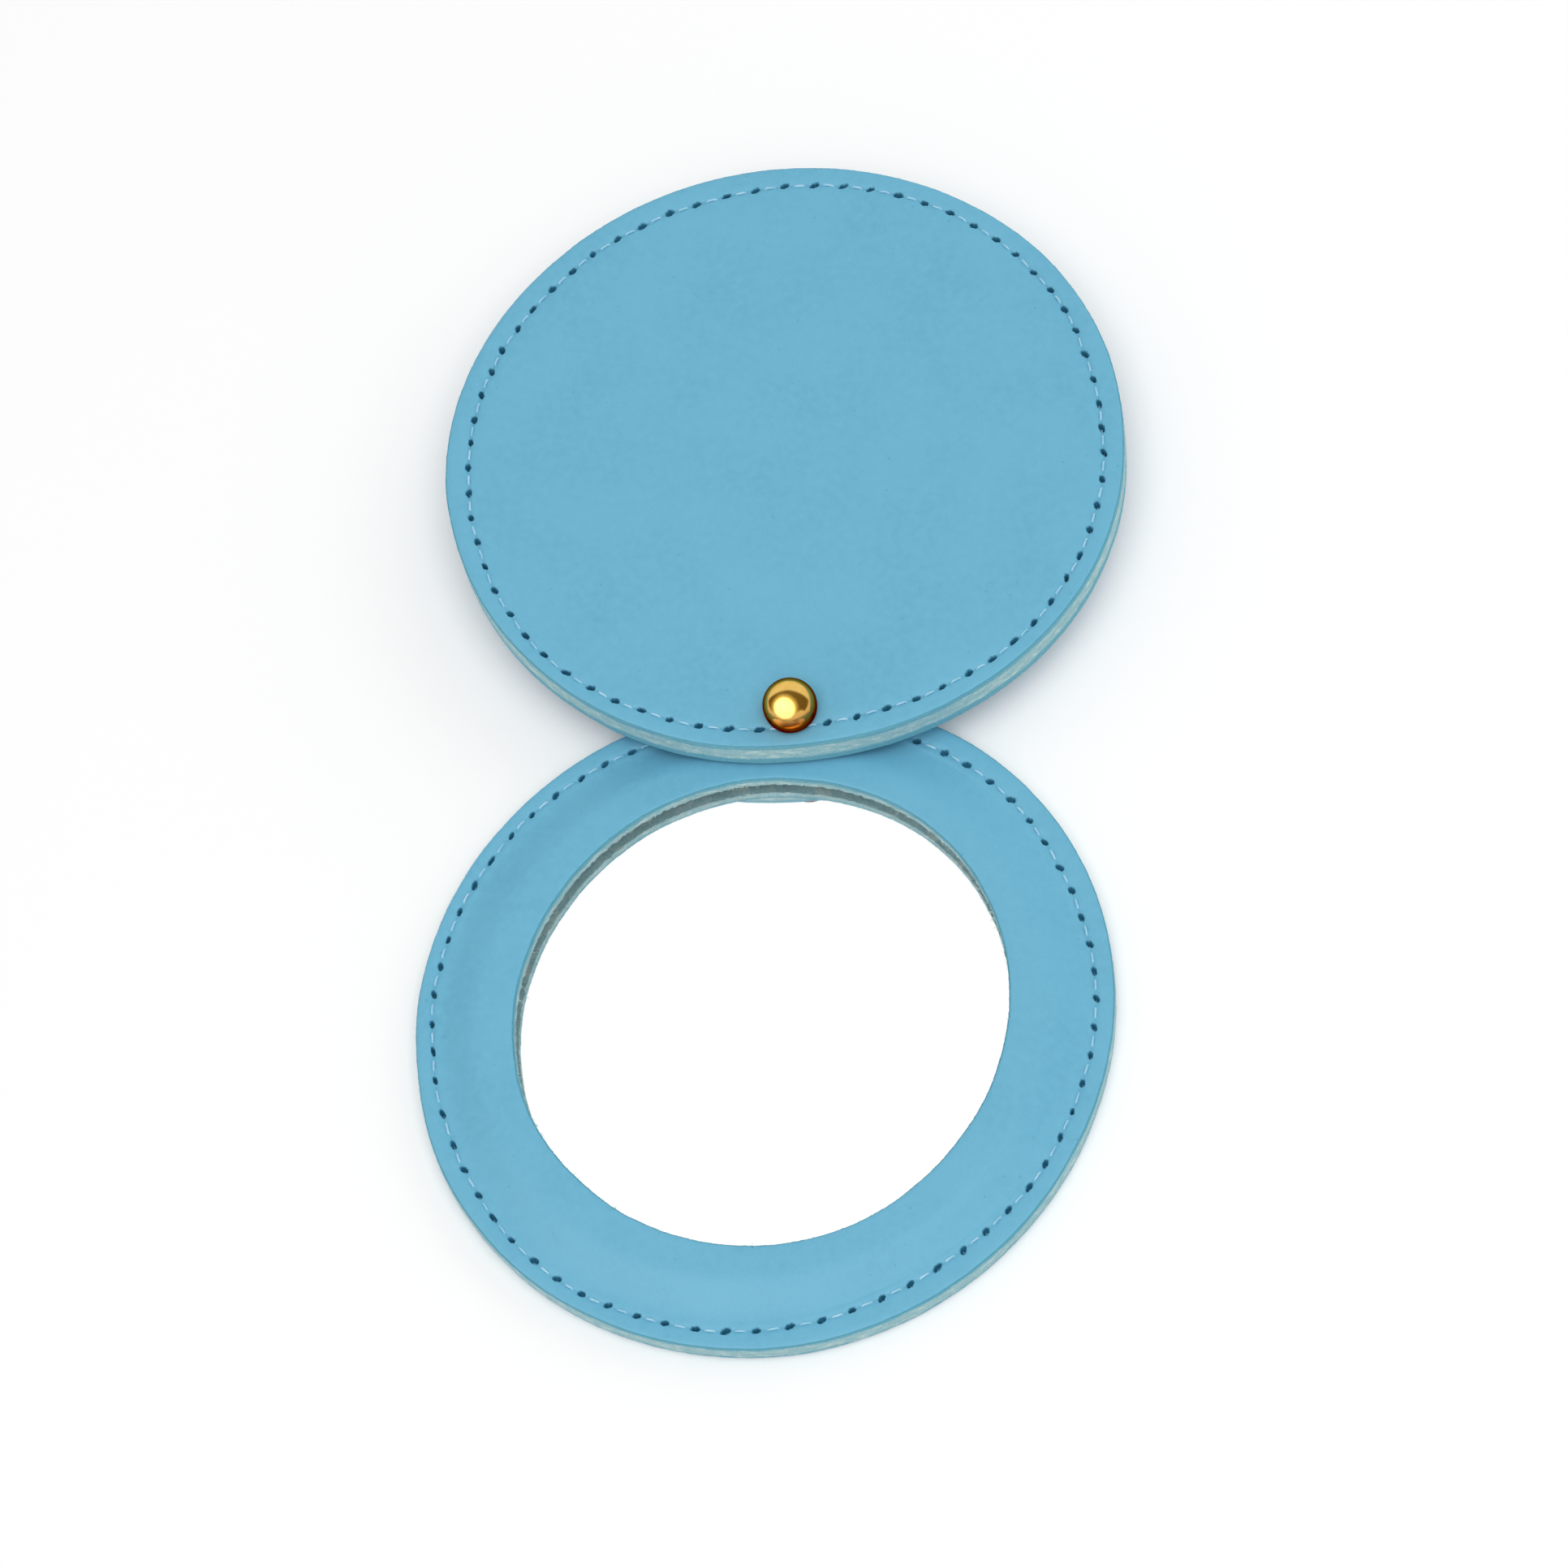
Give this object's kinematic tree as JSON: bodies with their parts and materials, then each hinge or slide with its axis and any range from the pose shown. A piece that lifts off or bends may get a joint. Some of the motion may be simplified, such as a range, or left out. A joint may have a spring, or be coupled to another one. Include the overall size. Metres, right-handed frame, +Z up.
{
  "type": "pocket mirror",
  "caption": "Round leather pocket mirror: a stitched cover disc swings on a rivet over a stitched mirror case with a round window.",
  "frame": {"origin": "half way between the centres of the two discs, on the flat back that the mirror lies on", "axes": "+Z up out of the mirror; +Y from the mirror case's centre to the open cover's centre; +X to the right"},
  "size_m": [0.07, 0.1318, 0.0121],
  "materials": {
    "blue_leather": "smooth sky-blue dyed grain, satin, with pale cut edges",
    "pale_thread": "pale blue bonded polyester sewing thread",
    "clear_glass": "clear float glass with ground edge",
    "silver_coat": "silver coat with grey protective paint behind it",
    "polished_brass": "polished and lacquered",
    "plated_steel": "plain plated"
  },
  "bodies": {
    "case": {"case_front_leather": "blue_leather", "case_back_leather": "blue_leather", "mirror_glass": "clear_glass", "mirror_silver_backing": "silver_coat", "case_needle_thread": "pale_thread", "case_bobbin_thread": "pale_thread", "rivet_cap": "polished_brass", "rivet_socket": "plated_steel", "rivet_post": "polished_brass"},
    "cover": {"cover_front_leather": "blue_leather", "cover_back_leather": "blue_leather", "cover_needle_thread": "pale_thread", "cover_bobbin_thread": "pale_thread"}
  },
  "joints": [
    {"name": "cover_swivel", "type": "hinge", "parent": "case", "child": "cover", "pos_m": [0.0023, 0, 0.008], "axis": [0, 0, 1], "continuous": true}
  ]
}
